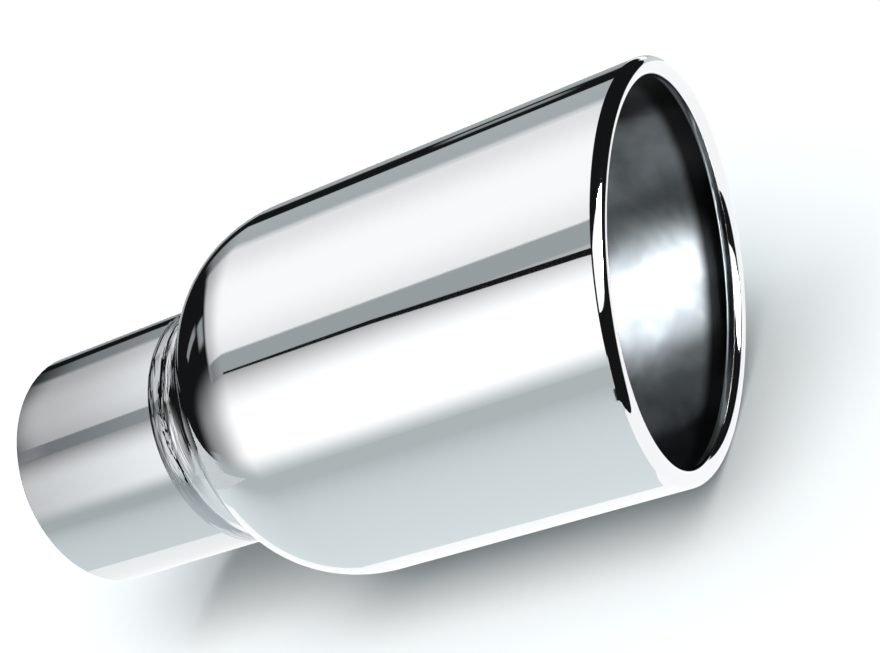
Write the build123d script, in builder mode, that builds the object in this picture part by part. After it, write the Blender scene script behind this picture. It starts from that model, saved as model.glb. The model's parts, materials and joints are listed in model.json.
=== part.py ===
from build123d import *
from math import asin, cos, degrees, radians, sin, tan
import os

# Slip-on exhaust tip: a spun body with a rolled, slanted mouth, welded to a plain inlet collar.
# The centre line is X, from the inlet to the mouth, and Z is up, where the mouth reaches furthest.
# The origin is the centre of the collar's rear edge. Lengths are in millimetres, angles in degrees.

# Inlet collar
bore_diameter = 64.0  # slips over a 63.5 mm tailpipe
collar_wall = 1.4
collar_length = 50.8  # rear edge to the near toe of the weld
collar_edge_radius = 0.5

# Weld between the collar and the neck
weld_width = 5.7  # toe to toe, on the outside
weld_root = 0.8  # gap between the two bevelled edges, at the bore
weld_crown = 0.3  # rise of its crest above the collar
weld_undercut = 0.2  # depth of its toes below the collar

# Spun body
body_diameter = 101.6
body_wall = 1.2
neck_length = 9.5  # far toe of the weld to the root of the shoulder
cove_radius = 11.0  # hollow curve between the neck and the shoulder
shoulder_length = 27.6
body_length = 99.8  # crest of the shoulder to the centre of the mouth

# Rolled lip
mouth_angle = 15.0  # slant of the mouth
lip_radius = 2.5  # outside of the roll's section
lip_turn = 280.0  # how far the edge is rolled over, inwards

# Radii that the pieces share
bore_radius = bore_diameter / 2
collar_radius = bore_radius + collar_wall
neck_radius = collar_radius
neck_inside = neck_radius - body_wall
body_radius = body_diameter / 2
lip_centre_radius = body_radius - lip_radius

# Places along the centre line
weld_centre = collar_length + weld_width / 2
collar_root = weld_centre - weld_root / 2
neck_root = weld_centre + weld_root / 2
neck_start = collar_length + weld_width
shoulder_root = neck_start + neck_length
shoulder_crest = shoulder_root + shoulder_length
mouth_centre = shoulder_crest + body_length
mouth_rise = lip_centre_radius * tan(radians(mouth_angle))
mouth_top = mouth_centre + mouth_rise
trim_margin = 3.0  # room round the sheet for the trim
trim_inside = body_radius / 2
trim_end = mouth_top + 2 * (mouth_rise + trim_margin)
blank_end = mouth_top + trim_margin


def mouth_line(x):
    """Ellipse where the mouth's slanted plane, set at x, cuts the cylinder of the lip's centre."""
    slant = radians(mouth_angle)
    plane = Plane(origin=(x, 0, 0), x_dir=(sin(slant), 0, cos(slant)), z_dir=(cos(slant), 0, -sin(slant)))
    with BuildLine(plane) as ellipse:
        EllipticalCenterArc((0, 0), lip_centre_radius / cos(slant), lip_centre_radius, arc_size=360)
    return ellipse.wire()


def toe(root, edge, inner, outer):
    """Point on a bevel, from its root at the bore to its outer edge, an undercut below that edge."""
    share = weld_undercut / (outer - inner)
    return (edge + share * (root - edge), outer - weld_undercut)


def sheet_side(inset, neck_edge):
    """Draw one side of the blank's sheet, an inset below its outside, closed along the centre line."""
    rise = body_radius - neck_radius - inset
    shoulder = EllipticalCenterArc(
        (shoulder_crest, neck_radius),
        shoulder_length - inset,
        rise,
        start_angle=90,
        arc_size=90 + degrees(asin(inset / rise)),
    )
    Line((neck_edge, neck_radius - inset), shoulder @ 1)
    wall = Line(shoulder @ 0, (blank_end, body_radius - inset))
    fillet(vertices().sort_by_distance(shoulder @ 1)[0], cove_radius + inset)
    Polyline(wall @ 1, (blank_end, 0), (neck_root, 0), (neck_root, neck_inside))


# Collar: a length of tube, its front edge bevelled for the weld and its rear corner eased.
with BuildPart() as inlet_collar:
    with BuildSketch(Plane.XZ):
        with BuildLine():
            Polyline(
                (0, bore_radius),
                (collar_root, bore_radius),
                (collar_length, collar_radius),
                (0, collar_radius),
                close=True,
            )
        make_face()
    revolve(axis=Axis.X)
    rear_edges = inlet_collar.edges().filter_by(GeomType.CIRCLE).group_by(Axis.X)[0]
    fillet(rear_edges.sort_by(SortBy.RADIUS)[-1], collar_edge_radius)

inlet_collar.part.label = "inlet_collar"

# Weld: fills the vee between the two bevels, with a low crown and a fine groove along each toe.
with BuildPart() as neck_weld:
    with BuildSketch(Plane.XZ):
        with BuildLine():
            rear_toe = toe(collar_root, collar_length, bore_radius, collar_radius)
            front_toe = toe(neck_root, neck_start, neck_inside, neck_radius)
            ThreePointArc(rear_toe, (weld_centre, collar_radius + weld_crown), front_toe)
            Polyline(front_toe, (neck_root, neck_inside), (collar_root, bore_radius), rear_toe)
        make_face()
    revolve(axis=Axis.X)

neck_weld.part.label = "neck_weld"

# The lip's centre line runs where the slanted plane cuts a cylinder. A copy of it, set back along the
# centre line, steers the sweeps, so that their sections stay radial all the way round.
lip_line = mouth_line(mouth_centre)
lip_guide = mouth_line(mouth_centre - body_length / 2)

# Body: one spun sheet. A turned blank is trimmed along the slant and its edge is rolled inwards.
with BuildPart() as tip_body:
    with BuildSketch(Plane.XZ):
        with BuildLine():
            sheet_side(0, neck_start)
            Line((neck_root, neck_inside), (neck_start, neck_radius))
        make_face()
        with BuildLine():
            sheet_side(body_wall, neck_root)
        make_face(mode=Mode.SUBTRACT)
    revolve(axis=Axis.X)

    with BuildSketch(Plane.XZ):
        with BuildLine():
            Polyline(
                (mouth_top, trim_inside),
                (trim_end, trim_inside),
                (trim_end, body_radius + trim_margin),
                (mouth_top, body_radius + trim_margin),
                close=True,
            )
        make_face()
    sweep(path=lip_line, binormal=lip_guide, mode=Mode.SUBTRACT)

    with BuildSketch(Plane.XZ):
        with BuildLine():
            roll_outside = CenterArc((mouth_top, lip_centre_radius), lip_radius, 90, -lip_turn)
            roll_inside = CenterArc((mouth_top, lip_centre_radius), lip_radius - body_wall, 90, -lip_turn)
            Line(roll_outside @ 0, roll_inside @ 0)
            Line(roll_outside @ 1, roll_inside @ 1)
        make_face()
    sweep(path=lip_line, binormal=lip_guide)

tip_body.part.label = "tip_body"

os.makedirs("parts", exist_ok=True)
export_step(inlet_collar.part, "parts/inlet_collar.step")
export_step(neck_weld.part, "parts/neck_weld.step")
export_step(tip_body.part, "parts/tip_body.step")
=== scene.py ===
import json
from math import atan2, cos, degrees, hypot, pi, radians, sin, tan

import bmesh
import bpy
from mathutils import Matrix, Vector


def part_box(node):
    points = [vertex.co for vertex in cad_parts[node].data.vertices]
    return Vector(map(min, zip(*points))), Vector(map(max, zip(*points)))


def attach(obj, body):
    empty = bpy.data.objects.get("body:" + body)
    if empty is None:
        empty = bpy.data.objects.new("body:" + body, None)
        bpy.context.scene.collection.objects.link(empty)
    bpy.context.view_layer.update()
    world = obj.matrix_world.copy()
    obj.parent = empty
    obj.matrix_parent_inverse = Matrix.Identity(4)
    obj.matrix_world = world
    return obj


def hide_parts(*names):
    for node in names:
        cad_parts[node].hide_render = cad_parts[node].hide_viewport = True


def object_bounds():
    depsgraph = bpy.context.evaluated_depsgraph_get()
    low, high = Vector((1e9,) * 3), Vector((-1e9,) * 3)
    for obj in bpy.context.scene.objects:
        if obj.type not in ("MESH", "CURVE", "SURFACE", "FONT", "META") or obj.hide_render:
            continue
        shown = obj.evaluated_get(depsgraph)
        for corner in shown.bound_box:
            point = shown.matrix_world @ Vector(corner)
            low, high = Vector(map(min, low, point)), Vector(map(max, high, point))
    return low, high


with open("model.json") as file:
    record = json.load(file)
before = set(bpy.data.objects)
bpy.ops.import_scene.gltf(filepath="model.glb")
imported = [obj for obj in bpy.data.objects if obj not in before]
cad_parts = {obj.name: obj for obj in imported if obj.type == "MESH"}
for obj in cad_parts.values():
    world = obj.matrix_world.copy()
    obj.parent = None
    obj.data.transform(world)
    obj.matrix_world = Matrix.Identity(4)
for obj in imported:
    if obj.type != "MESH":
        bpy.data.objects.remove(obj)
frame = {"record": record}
cad_low, cad_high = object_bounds()

# Slip-on exhaust tip of polished stainless steel: a spun body with a rolled, slanted mouth, welded to
# a plain inlet collar. The centre line is X, from the inlet to the mouth, and Z is up.
# Lengths are in metres and angles in degrees. A section is drawn in the plane of X and Z, and its clock
# angles run from straight out, 0, by way of the mouth's side, 90.

# Sizes that the frame gives
collar_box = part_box("inlet_collar")
body_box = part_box("tip_body")
bore_radius = frame["record"]["mounts"][0]["dims"]["r_mm"] / 1000
collar_root = collar_box[1].x
collar_radius = collar_box[1].z
neck_root = body_box[0].x
body_radius = body_box[1].z
body_end = body_box[1].x

# Collar and weld
weld_width = 0.0057
weld_crown = 0.0003
weld_undercut = 0.0002
edge_round = 0.0003
rear_round = 0.0005

# Spun body
sheet = 0.0012
cove_radius = 0.011
shoulder_length = 0.0276
body_length = 0.0998
mouth_slant = 15.0
lip_radius = 0.0025
lip_turn = 280.0

# Places worked out from them
neck_radius = collar_radius
neck_inside = neck_radius - sheet
weld_centre = (collar_root + neck_root) / 2
collar_toe = weld_centre - weld_width / 2
neck_toe = weld_centre + weld_width / 2
lip_centre = body_radius - lip_radius
mouth_rise = lip_centre * tan(radians(mouth_slant))
mouth_centre = body_end - lip_radius - mouth_rise
shoulder_crest = mouth_centre - body_length

# Fineness of the meshes
turn_steps = 288
arc_steps = 24
curl_steps = 40
ease_steps = 4
sharp_angle = 30.0
merge_distance = 1e-7

# Finishes. Each kind of mark has two densities, along the centre line and round it.
buffed_marks = (2600, 3)
ground_marks = (480, 2.6)
turned_marks = (1800, 2)
haze_scale = 38
haze_spread = (0.1, 0.5)
wave_scale = 45
slow_wave_scale = 28
stain_scale = 45
stain_spread = (0.3, 0.7)
stain_shades = (0.5, 1.2)
# How much the stains make the edge of the painted shade ragged.
shade_edge_raggedness = 0.3
grinding_reach = 0.009
# Painted shadow: the inside's colour darkens over this depth behind the rolled lip, as the roll's shadow.
roll_shadow_depth = (0.0075, 0.0115)
roll_shadow_shade = 0.06
# Painted shade: the inside's colour is darker away from this side.
lit_side = Vector((0, 0.883, -0.469))
lit_side_reach = (0.71, 0.89)
away_side_painted_shade = 0.2

# Photograph's viewpoint
view_aim = Vector((0.1257, 0.0030, 0.0054))
view_distance = 0.5526
view_azimuth = 37.126
view_elevation = 24.156
view_roll = 36.495
view_lens = 88.18

# Studio
floor_level = cad_low.z
floor_reach = 6.0
floor_tone = (0.63, 0.63, 0.63, 1)
floor_tone_seen = (0.94, 0.94, 0.94, 1)
sky_light = 0.12
tent_centre = 0.1
tent_radius = 0.7
tent_gap = 0.004
low_gap = 0.0002
dim_tilts = (-48.0, -36.0)
graded_over = (-0.27, -0.03)
mouth_side = (54.0, 42.0)
room_radius = 2.5
room_level = 0.009
softbox_tone = (1, 1, 1, 1)
card_tone = (0.91, 0.985, 1.0, 1)
softbox_level = 0.88
first_bounce = 0.5


def chain(bm, centre, radius, start, end, steps, stretch=1.0):
    """Draw a round stretch of a section between two clock angles. Stretch makes it longer along X."""
    x, r = centre
    first = bm.verts.new((x + radius * sin(radians(start)), 0, r + radius * cos(radians(start))))
    made = bmesh.ops.spin(
        bm, geom=[first], cent=(x, 0, r), axis=(0, 1, 0), angle=radians(end - start), steps=steps
    )
    last = made["geom_last"][0]
    arc = [first]
    while arc[-1] is not last:
        arc.append(next(v for e in arc[-1].link_edges for v in e.verts if v not in arc[-2:]))
    bmesh.ops.scale(bm, verts=arc, vec=(stretch, 1, 1), space=Matrix.Translation((-x, 0, 0)))
    return first, last


def join_ends(bm, *stretches):
    """Close a section with straight stretches, from each end to the next beginning."""
    for here, following in zip(stretches, stretches[1:] + stretches[:1]):
        if (here[1].co - following[0].co).length > merge_distance:
            bm.edges.new((here[1], following[0]))
    bmesh.ops.remove_doubles(bm, verts=bm.verts, dist=merge_distance)


def point(bm, x, r):
    """A corner of a section, as a stretch that begins and ends there."""
    corner = bm.verts.new((x, 0, r))
    return corner, corner


def turn_round(bm):
    """Spin a closed section round the centre line."""
    bmesh.ops.spin(
        bm, geom=bm.verts[:] + bm.edges[:], cent=(0, 0, 0), axis=(1, 0, 0),
        angle=2 * pi, steps=turn_steps, use_merge=True,
    )
    bmesh.ops.remove_doubles(bm, verts=bm.verts, dist=merge_distance)
    bmesh.ops.recalc_face_normals(bm, faces=bm.faces)


def ease_edges(bm, edges, size):
    """Round sharp edges over."""
    bmesh.ops.bevel(
        bm, geom=edges, offset=size, offset_type="OFFSET", segments=ease_steps,
        profile=0.5, affect="EDGES", material=-1, clamp_overlap=True,
    )


def sharp_edges(bm):
    """Edges where a mesh turns sharply."""
    return [e for e in bm.edges if len(e.link_faces) == 2 and e.calc_face_angle() > radians(sharp_angle)]


def hang_up(bm, name, node, slot, *materials):
    """Make a mesh the piece that stands for a CAD node, smoothly shaded, with its materials. Its slot is
    not used.
    """
    mesh = bpy.data.meshes.new(name)
    for face in bm.faces:
        face.smooth = True
    bm.to_mesh(mesh)
    bm.free()
    piece = bpy.data.objects.new(name, mesh)
    bpy.context.scene.collection.objects.link(piece)
    for material in materials:
        mesh.materials.append(material)
    shading = piece.modifiers.new("even_shading", "WEIGHTED_NORMAL")
    shading.keep_sharp = True
    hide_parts(node)
    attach(piece, "root")
    return piece


def out_from_axis(place):
    """Direction straight out from the centre line."""
    return Vector((0, place.y, place.z)).normalized()


def shoulder_foot(inset):
    """Clock angle on the shoulder's round where the cove meets it, and the cove's end angle."""
    rise = body_radius - neck_radius - inset
    length = shoulder_length - inset
    low, high = -90.0, -20.0
    for _ in range(50):
        angle = (low + high) / 2
        outward = Vector((sin(radians(angle)) / length, cos(radians(angle)) / rise)).normalized()
        height = rise * cos(radians(angle)) + (cove_radius + inset) * outward.y
        if height > cove_radius:
            high = angle
        else:
            low = angle
    foot_x = shoulder_crest + length * sin(radians(angle))
    cove_x = foot_x + (cove_radius + inset) * outward.x
    return angle, cove_x, degrees(atan2(-outward.x, -outward.y))


def sheet_side(bm, inset):
    """Cove and shoulder on one side of the sheet, an inset below its outside, from neck to crest."""
    angle, cove_x, cove_end = shoulder_foot(inset)
    rise = body_radius - neck_radius - inset
    cove = chain(bm, (cove_x, neck_radius + cove_radius), cove_radius + inset, 180, cove_end, arc_steps)
    shoulder = chain(
        bm, (shoulder_crest, neck_radius), rise, angle, 0, 2 * arc_steps, (shoulder_length - inset) / rise
    )
    return cove, shoulder


def backwards(stretch):
    """The same stretch, run from its end to its beginning."""
    return stretch[1], stretch[0]


def slant_mouth(bm):
    """Slide the wall's rings forward or back, so that the lip lies in the mouth's slant."""
    for v in bm.verts:
        share = min(1, max(0, (v.co.x - shoulder_crest) / (mouth_centre - lip_radius - shoulder_crest)))
        v.co.x += share * mouth_rise * v.co.z / hypot(v.co.y, v.co.z)


def spun_body(outside, inside):
    """Body: neck, cove, shoulder, wall and rolled lip, all one sheet."""
    bm = bmesh.new()
    outer_cove, outer_shoulder = sheet_side(bm, 0)
    inner_cove, inner_shoulder = sheet_side(bm, sheet)
    roll = (mouth_centre, lip_centre)
    wall_end = mouth_centre - lip_radius
    join_ends(
        bm,
        point(bm, neck_root, neck_inside),
        point(bm, neck_toe, neck_radius),
        outer_cove,
        outer_shoulder,
        point(bm, wall_end, body_radius),
        chain(bm, roll, lip_radius, 0, lip_turn, curl_steps),
        chain(bm, roll, lip_radius - sheet, lip_turn, 0, curl_steps),
        point(bm, wall_end, body_radius - sheet),
        backwards(inner_shoulder),
        backwards(inner_cove),
    )
    turn_round(bm)
    slant_mouth(bm)
    for face in bm.faces:
        middle = face.calc_center_median()
        faces_in = face.normal.dot(out_from_axis(middle)) < 0
        near_mouth = middle.x > wall_end - mouth_rise
        on_roll = near_mouth and hypot(middle.y, middle.z) > lip_centre - lip_radius
        face.material_index = int(faces_in and not on_roll)
    return hang_up(bm, "spun_body", "tip_body", "polished_body", outside, inside)


def collar_tube(finish):
    """Inlet collar: a length of tube, bevelled for the weld at its front edge."""
    bm = bmesh.new()
    join_ends(
        bm,
        point(bm, 0, bore_radius),
        point(bm, 0, collar_radius),
        point(bm, collar_toe, collar_radius),
        point(bm, collar_root, bore_radius),
    )
    turn_round(bm)
    ease_edges(bm, [e for e in sharp_edges(bm) if e.verts[0].co.x < edge_round], rear_round)
    return hang_up(bm, "collar_tube", "inlet_collar", "polished_collar", finish)


def weld_ring(finish):
    """Dressed weld in the vee between collar and neck, with a low crown."""
    bm = bmesh.new()
    half = weld_width / 2
    top = collar_radius + weld_crown
    drop = weld_crown + weld_undercut
    crown_radius = (half**2 + drop**2) / (2 * drop)
    crown_angle = degrees(atan2(half, crown_radius - drop))
    join_ends(
        bm,
        chain(bm, (weld_centre, top - crown_radius), crown_radius, -crown_angle, crown_angle, arc_steps),
        point(bm, neck_root, neck_inside),
        point(bm, collar_root, bore_radius),
    )
    turn_round(bm)
    return hang_up(bm, "weld_ring", "neck_weld", "polished_weld", finish)


def node(tree, kind, inputs=None, **settings):
    """Add a node with its settings, and fill its inputs with values or with other nodes' outputs."""
    made = tree.nodes.new(kind)
    for name, value in settings.items():
        setattr(made, name, value)
    for name, value in (inputs or {}).items():
        if isinstance(value, bpy.types.NodeSocket):
            tree.links.new(value, made.inputs[name])
        else:
            made.inputs[name].default_value = value
    return made


def new_material(name):
    """A material with an empty node tree, and its output node."""
    material = bpy.data.materials.new(name)
    material.use_nodes = True
    material.node_tree.nodes.clear()
    return material, material.node_tree, node(material.node_tree, "ShaderNodeOutputMaterial")


def object_place(tree):
    """Place on the piece."""
    return node(tree, "ShaderNodeTexCoord").outputs["Object"]


def part_of(tree, vector, axis):
    """One axis of a vector."""
    return node(tree, "ShaderNodeSeparateXYZ", {0: vector}).outputs[axis]


def maths(tree, operation, *values):
    """Sum worked out with one node."""
    return node(tree, "ShaderNodeMath", dict(enumerate(values)), operation=operation).outputs[0]


def vector_maths(tree, operation, *values):
    """Sum with vectors, worked out with one node."""
    return node(tree, "ShaderNodeVectorMath", dict(enumerate(values)), operation=operation).outputs[0]


def noise(tree, place, scale, detail, roughness=0.5, distortion=0.0):
    """Soft irregular pattern."""
    return node(
        tree, "ShaderNodeTexNoise",
        {
            "Vector": place, "Scale": scale, "Detail": detail,
            "Roughness": roughness, "Distortion": distortion,
        },
    ).outputs["Fac"]


def relief(tree, depth, height, **over):
    """Bumps of some depth, over the relief that the surface already has where its normal is given."""
    return node(
        tree, "ShaderNodeBump", {"Strength": 1, "Distance": depth, "Height": height, **over}
    ).outputs[0]


def out_from_line(tree, place):
    """Direction straight out from the centre line."""
    return vector_maths(tree, "NORMALIZE", vector_maths(tree, "MULTIPLY", place, (0, 1, 1)))


def round_coordinates(tree, along, around):
    """Coordinates that follow the turned surface: along the centre line, and round it without a seam."""
    place = object_place(tree)
    ring = vector_maths(tree, "MULTIPLY", out_from_line(tree, place), (around,) * 3)
    line = vector_maths(tree, "MULTIPLY", place, (along, 0, 0))
    return vector_maths(tree, "ADD", ring, line)


def ground_round_weld(tree, depth, normal):
    """Uneven streaks round the weld, which is ground by hand. They run out on the shoulder's foot."""
    streaks = noise(tree, round_coordinates(tree, *ground_marks), 1, 2, 0.45, 0.6)
    along = part_of(tree, object_place(tree), "X")
    height = product(tree, streaks, fade(tree, along, neck_toe, neck_toe + grinding_reach, 1, 0))
    return relief(tree, depth, height, Normal=normal)


def polished_steel(name, colour, smooth, rough, mark_depth, wave_depth, ground_depth=0.0):
    """Stainless steel, buffed while it turns: fine marks round it, a little haze and a slow waviness."""
    material, tree, output = new_material(name)
    place = object_place(tree)
    marks = noise(tree, round_coordinates(tree, *buffed_marks), 1, 3, 0.6)
    haze = noise(tree, place, haze_scale, 4)
    wave = noise(tree, place, wave_scale, 1)
    roughness = node(
        tree, "ShaderNodeMapRange",
        {
            "Value": product(tree, marks, haze), "From Min": haze_spread[0], "From Max": haze_spread[1],
            "To Min": smooth, "To Max": rough,
        },
    ).outputs[0]
    slow = relief(tree, wave_depth, wave)
    if ground_depth:
        slow = ground_round_weld(tree, ground_depth, slow)
    shader = node(
        tree, "ShaderNodeBsdfPrincipled",
        {
            "Base Color": (*colour, 1), "Metallic": 1, "Roughness": roughness,
            "Normal": relief(tree, mark_depth, marks, Normal=slow),
        },
    )
    tree.links.new(shader.outputs[0], output.inputs["Surface"])
    return material


def behind_mouth(tree, place):
    """Distance back along the wall from the rolled lip."""
    up = part_of(tree, out_from_line(tree, place), "Z")
    lip = maths(tree, "ADD", product(tree, up, mouth_rise), mouth_centre)
    return maths(tree, "SUBTRACT", lip, part_of(tree, place, "X"))


def inside_stains_and_painted_shade(tree, place):
    """Share of the inside's colour: random stains, painted shade away from one side, and a painted shadow
    behind the roll.
    """
    stain = noise(tree, place, stain_scale, 3, 0.55, 0.3)
    out = out_from_line(tree, place)
    side = node(
        tree, "ShaderNodeVectorMath", {0: out, 1: lit_side}, operation="DOT_PRODUCT"
    ).outputs["Value"]
    lit_share = maths(tree, "MULTIPLY_ADD", stain, shade_edge_raggedness, side)
    return product(
        tree,
        fade(tree, stain, *stain_spread, *stain_shades),
        # painted shade away from the lit side
        fade(tree, lit_share, *lit_side_reach, away_side_painted_shade, 1),
        # painted shadow of the roll on the wall behind it
        fade(tree, behind_mouth(tree, place), *roll_shadow_depth, roll_shadow_shade, 1),
    )


def satin_steel(name, colour, roughness, mark_depth, wave_depth):
    """Inside of the sheet as the spinning leaves it: satin, with turned marks that draw a gleam out."""
    material, tree, output = new_material(name)
    place = object_place(tree)
    along = node(tree, "ShaderNodeCombineXYZ", {"X": 1}).outputs[0]
    # The inside's colour carries random stains, painted shade and a painted shadow behind the roll.
    tinted = node(
        tree, "ShaderNodeVectorMath", {0: colour, "Scale": inside_stains_and_painted_shade(tree, place)}, operation="SCALE"
    ).outputs[0]
    marks = noise(tree, round_coordinates(tree, *turned_marks), 1, 2, 0.6)
    slow = relief(tree, wave_depth, noise(tree, place, slow_wave_scale, 2))
    shader = node(
        tree, "ShaderNodeBsdfPrincipled",
        {
            "Base Color": tinted, "Metallic": 1, "Roughness": roughness, "Anisotropic": 1,
            "Tangent": along, "Normal": relief(tree, mark_depth, marks, Normal=slow),
        },
    )
    tree.links.new(shader.outputs[0], output.inputs["Surface"])
    return material


def fade(tree, value, start, end, low=0.0, high=1.0):
    """A smooth change from one level to another between two places."""
    return node(
        tree, "ShaderNodeMapRange",
        {"Value": value, "From Min": start, "From Max": end, "To Min": low, "To Max": high},
        interpolation_type="SMOOTHSTEP",
    ).outputs[0]


def product(tree, *values):
    """All the values multiplied together."""
    total = values[0]
    for value in values[1:]:
        total = maths(tree, "MULTIPLY", total, value)
    return total


def card_level(tree, level):
    """Strength of a card in mirror images, none in light that the metal would throw on the floor."""
    depth = node(tree, "ShaderNodeLightPath").outputs["Diffuse Depth"]
    return product(tree, maths(tree, "LESS_THAN", depth, first_bounce), level)


def light_tone(level):
    """Softboxes are white, and the paper cards a little cool."""
    return softbox_tone if level > softbox_level else card_tone


def card_light(name, level, half, lean, edges, dim, dim_over):
    """Light of a card on the tent. Each of its four edges fades over some degrees, and its rear is dim."""
    material, tree, output = new_material(name)
    parts = node(tree, "ShaderNodeSeparateXYZ", {0: object_place(tree)}).outputs
    turn = maths(tree, "DEGREES", maths(tree, "ARCTAN2", product(tree, parts["Y"], -1), parts["Z"]))
    tilt = maths(tree, "DEGREES", maths(tree, "ARCSINE", maths(tree, "DIVIDE", parts["X"], tent_radius)))
    share = product(
        tree,
        fade(tree, turn, -half, edges[0] - half),
        fade(tree, turn, half, half - edges[1]),
        fade(tree, tilt, lean[0], lean[0] + edges[2]),
        fade(tree, tilt, lean[1], lean[1] - edges[3]),
    )
    strength = product(tree, fade(tree, tilt, *dim_over, dim, 1), card_level(tree, level))
    light = node(tree, "ShaderNodeEmission", {"Color": light_tone(level), "Strength": strength})
    clear = node(tree, "ShaderNodeBsdfTransparent")
    mixed = node(tree, "ShaderNodeMixShader", {0: share, 1: clear.outputs[0], 2: light.outputs[0]})
    tree.links.new(mixed.outputs[0], output.inputs["Surface"])
    return material


def plain_light(name, level, graded=(1, 1)):
    """Light of a flat card. Graded is its share far out on the camera's side, and close to the tip."""
    material, tree, output = new_material(name)
    across = part_of(tree, object_place(tree), "Y")
    strength = product(tree, fade(tree, across, *graded_over, *graded), card_level(tree, level))
    light = node(tree, "ShaderNodeEmission", {"Color": light_tone(level), "Strength": strength})
    tree.links.new(light.outputs[0], output.inputs["Surface"])
    return material


def set_up(bm, name, material):
    """Make a mesh a part of the studio that only reflections show."""
    mesh = bpy.data.meshes.new(name)
    bm.to_mesh(mesh)
    bm.free()
    mesh.materials.append(material)
    thing = bpy.data.objects.new(name, mesh)
    thing.visible_camera = False
    thing.visible_diffuse = False
    thing.visible_shadow = False
    bpy.context.scene.collection.objects.link(thing)
    return thing


def tent_card(name, turn, lean, level, edges=(1, 1, 2, 2), dim=1.0, dim_over=dim_tilts, layer=0):
    """Card on the light tent. Turn is its two angles round the centre line, from straight up towards the
    camera's side. Lean is its two angles towards the mouth. A higher layer hangs in front."""
    half = (turn[1] - turn[0]) / 2
    bm = bmesh.new()
    steps = max(4, int((lean[1] - lean[0]) / 2))
    chain(bm, (0, 0), tent_radius - layer * tent_gap, lean[0], lean[1], steps)
    bmesh.ops.rotate(bm, verts=bm.verts, cent=(0, 0, 0), matrix=Matrix.Rotation(radians(-half), 3, "X"))
    bmesh.ops.spin(
        bm, geom=bm.verts[:] + bm.edges[:], cent=(0, 0, 0), axis=(1, 0, 0), angle=radians(2 * half),
        steps=max(4, int(half)),
    )
    card = set_up(bm, name, card_light(name, level, half, lean, edges, dim, dim_over))
    card.location.x = tent_centre
    card.rotation_euler.x = radians((turn[0] + turn[1]) / 2)


def on_tent(turn, lean, radius):
    """Place on the tent at an angle round the centre line and one towards the mouth."""
    out = Vector((sin(radians(lean)), 0, cos(radians(lean)))) * radius
    return Matrix.Rotation(radians(turn), 3, "X") @ out + Vector((tent_centre, 0, 0))


def flat_card(name, corners, level, graded=(1, 1)):
    """Flat card between some corners."""
    bm = bmesh.new()
    bm.faces.new([bm.verts.new(corner) for corner in corners])
    set_up(bm, name, plain_light(name, level, graded))


def tent_flag(name, *corners):
    """Dark card in front of the tent. Its corners are turns round the centre line and leans."""
    flat_card(name, [on_tent(*corner, tent_radius - 3 * tent_gap) for corner in corners], room_level)


def mouth_card(name, distance, level, *corners):
    """Flat card that faces the tip from the mouth's side. Its corners lie along the tip and across it."""
    facing = (on_tent(*mouth_side, 1) - on_tent(0, 0, 0)).normalized()
    along = (Vector((1, 0, 0)) - facing * facing.x).normalized()
    across = facing.cross(along)
    middle = on_tent(*mouth_side, distance)
    flat_card(name, [middle + along * u + across * v for u, v in corners], level)


def low_card(name, layer, level, *corners, graded=(1, 1)):
    """Card lying on the floor, a sheet's thickness above the one below it."""
    flat_card(name, [(x, y, floor_level + layer * low_gap) for x, y in corners], level, graded)


def dark_room():
    """Dark surround behind the cards."""
    bm = bmesh.new()
    bmesh.ops.create_uvsphere(bm, u_segments=64, v_segments=32, radius=room_radius)
    room = set_up(bm, "dark_room", plain_light("dark_cloth", room_level))
    room.location.x = tent_centre


def floor():
    """Pale floor below the tip, which keeps its shadow. The view shows it white."""
    bm = bmesh.new()
    bmesh.ops.create_grid(
        bm, x_segments=1, y_segments=1, size=floor_reach, matrix=Matrix.Translation((0, 0, floor_level))
    )
    mesh = bpy.data.meshes.new("floor")
    bm.to_mesh(mesh)
    bm.free()
    material, tree, output = new_material("pale_floor")
    seen = node(tree, "ShaderNodeLightPath").outputs["Is Camera Ray"]
    tone = node(
        tree, "ShaderNodeMix", {0: seen, 6: floor_tone, 7: floor_tone_seen}, data_type="RGBA"
    ).outputs[2]
    shader = node(tree, "ShaderNodeBsdfDiffuse", {"Color": tone})
    tree.links.new(shader.outputs[0], output.inputs["Surface"])
    mesh.materials.append(material)
    ground = bpy.data.objects.new("floor", mesh)
    bpy.context.scene.collection.objects.link(ground)


def surroundings():
    """White surroundings for the view and for reflections, faint as light on the floor."""
    world = bpy.data.worlds.new("studio")
    world.use_nodes = True
    tree = world.node_tree
    tree.nodes.clear()
    rays = node(tree, "ShaderNodeLightPath").outputs
    seen = maths(tree, "MAXIMUM", rays["Is Camera Ray"], rays["Is Glossy Ray"])
    seen = maths(tree, "MAXIMUM", seen, rays["Is Transmission Ray"])
    strength = node(
        tree, "ShaderNodeMapRange", {"Value": seen, "To Min": sky_light, "To Max": 1.0}
    ).outputs[0]
    sky = node(tree, "ShaderNodeBackground", {"Color": (1, 1, 1, 1), "Strength": strength})
    node(tree, "ShaderNodeOutputWorld", {"Surface": sky.outputs[0]})
    bpy.context.scene.world = world


def soft_sun(name, towards, strength, softness, colour=(1, 1, 1), shadow=True):
    """Distant soft lamp for the floor and the shadow on it. The metal doesn't reflect it."""
    lamp = bpy.data.lights.new(name, "SUN")
    lamp.energy = strength
    lamp.color = colour
    lamp.angle = radians(softness)
    lamp.use_shadow = shadow
    made = bpy.data.objects.new(name, lamp)
    made.visible_glossy = False
    bpy.context.scene.collection.objects.link(made)
    made.rotation_euler = Vector(towards).to_track_quat("-Z", "Y").to_euler()


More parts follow.
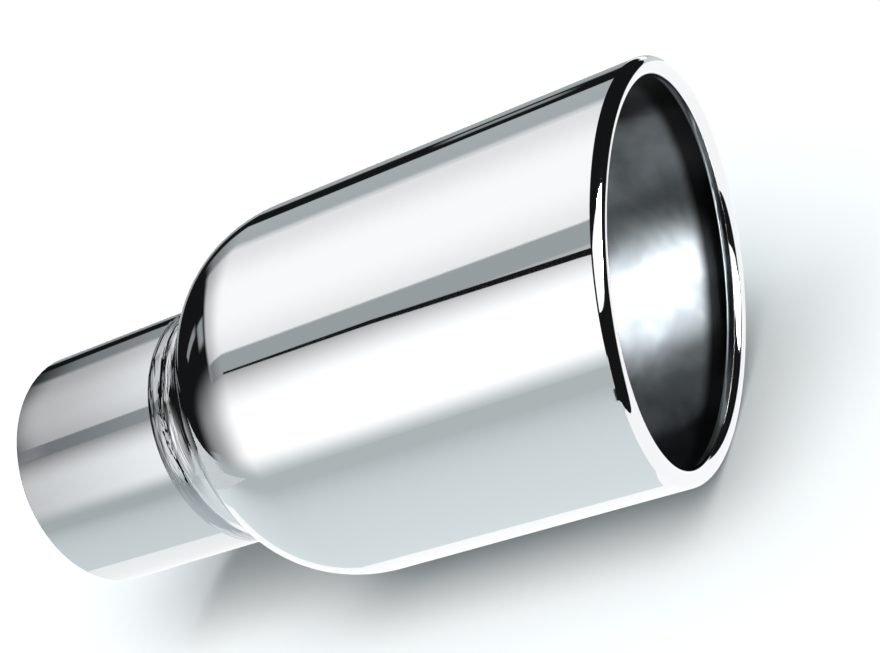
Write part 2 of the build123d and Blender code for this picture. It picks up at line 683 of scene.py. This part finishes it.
def camera():
    """Camera at the photograph's viewpoint, turned about its line of sight as the photograph is."""
    lens = bpy.data.cameras.new("camera")
    lens.lens = view_lens
    lens.sensor_width = 36
    turn = (
        Matrix.Rotation(radians(view_azimuth), 4, "Z")
        @ Matrix.Rotation(radians(90 - view_elevation), 4, "X")
        @ Matrix.Rotation(radians(-view_roll), 4, "Z")
    )
    made = bpy.data.objects.new("camera", lens)
    made.matrix_world = Matrix.Translation(view_aim) @ turn @ Matrix.Translation((0, 0, view_distance))
    bpy.context.scene.collection.objects.link(made)
    bpy.context.scene.camera = made


def studio():
    """Light tent of cards round the tip, which the polished metal reflects."""
    dark_room()
    tent_card("softbox_top", (-56, 33), (-50, -17), 0.9, edges=(8, 2, 3, 1), dim=0.56)
    tent_card("softbox_top_middle", (-48, 33), (-50, -17), 1.16, edges=(32, 36, 3, 1), dim=0.56, layer=1)
    tent_card("softbox_front", (16, 97), (-78, -17), 1.4, edges=(42, 18, 20, 1), dim=0.27,
              dim_over=(-62, -30), layer=1)
    tent_card("grey_card_top", (20, 33), (-50, -17), 0.42, edges=(1.5, 0.5, 4, 0.5), dim=0.56, layer=2)
    tent_card("grey_card_back", (-73, -50), (-50, -17), 0.48, edges=(1, 1, 4, 1), dim=0.5, layer=-1)
    tent_card("pale_card_back", (-125, -84), (-50, -17), 0.42, edges=(1, 18, 4, 1), dim=0.6)
    tent_card("pale_patch_back", (-85, -78), (-28, -20), 0.3, edges=(2, 3, 2, 2))
    tent_card("white_card_back", (-120, -86), (-17, 14), 1.2, edges=(1, 4, 1, 4))
    tent_card("streak_top", (-20, 6), (-56, -49), 0.35, edges=(4, 8, 3, 2), layer=2)
    tent_card("streak_back", (-26, -12), (-68, -55), 0.32, edges=(4, 4, 3, 3), layer=2)
    tent_flag("flag_top", (35.5, -17), (39, -17), (33.6, -30), (32.2, -38), (31.2, -38), (31.3, -30))
    tent_card("pale_card_low", (80, 101), (-75, -17), 0.58, edges=(1, 1, 10, 1), dim=0.95)
    mouth_card("softbox_mouth", 0.6, 1.3, (-0.55, -0.25), (-0.55, 0.2), (0.75, 0.24), (0.75, -0.18))
    mouth_card("beam_mouth", 0.59, 100.0, (0.16, -0.135), (0.16, 0.235), (0.6, 0.235), (0.6, -0.135))
    low_card("white_card_low", 2, 1.12, (-0.06, -0.04), (0.172, -0.0345), (0.172, -0.12),
             (0.23, -0.12), (0.26, -0.06), (0.29, 0), (0.29, 0.3), (-0.06, 0.3))
    low_card("pale_card_floor", 1, 0.87, (-0.6, -0.69), (-0.09, -0.69), (0.102, -0.207), (0.172, -0.12),
             (0.172, 0), (-0.1, 0), graded=(0.65, 1))
    low_card("grey_card_far", 1, 0.4, (-3, 0.3), (0.1, 0.3), (0.1, 3), (-3, 3))
    low_card("flag_low", 3, room_level, (-0.7, -3), (0.102, -0.207), (0.128, -0.156), (0.165, -0.146),
             (0.2, -0.112), (0.24, -0.058), (0.27, -0.018), (0.3, 0.02), (0.3, 3), (3, 3), (3, -3))


bpy.context.scene.view_settings.view_transform = "Standard"
body_finish = polished_steel("mirror_steel", (0.80, 0.815, 0.83), 0.02, 0.05, 1e-7, 1.2e-5, 4e-4)
# The inside's base colour is far darker than the body's steel: painted shade of the tube's inside.
inside_finish = satin_steel("inside_steel", (0.255, 0.28, 0.297), 0.42, 4e-7, 3e-5)
collar_finish = polished_steel("collar_steel", (0.70, 0.72, 0.735), 0.03, 0.06, 1.5e-7, 1.5e-5)
# The weld's base colour is darker than the body's steel: painted shade on the weld.
weld_finish = polished_steel("weld_steel", (0.48, 0.50, 0.52), 0.04, 0.08, 2e-7, 6e-5, 6e-4)

camera()
surroundings()
soft_sun("key", (-0.3, 0.62, -1), 2.5, 58)
soft_sun("fill", (0, 0, -1), 1.2, 45, colour=(0.82, 0.96, 1.0), shadow=False)
floor()
studio()
spun_body(body_finish, inside_finish)
collar_tube(collar_finish)
weld_ring(weld_finish)
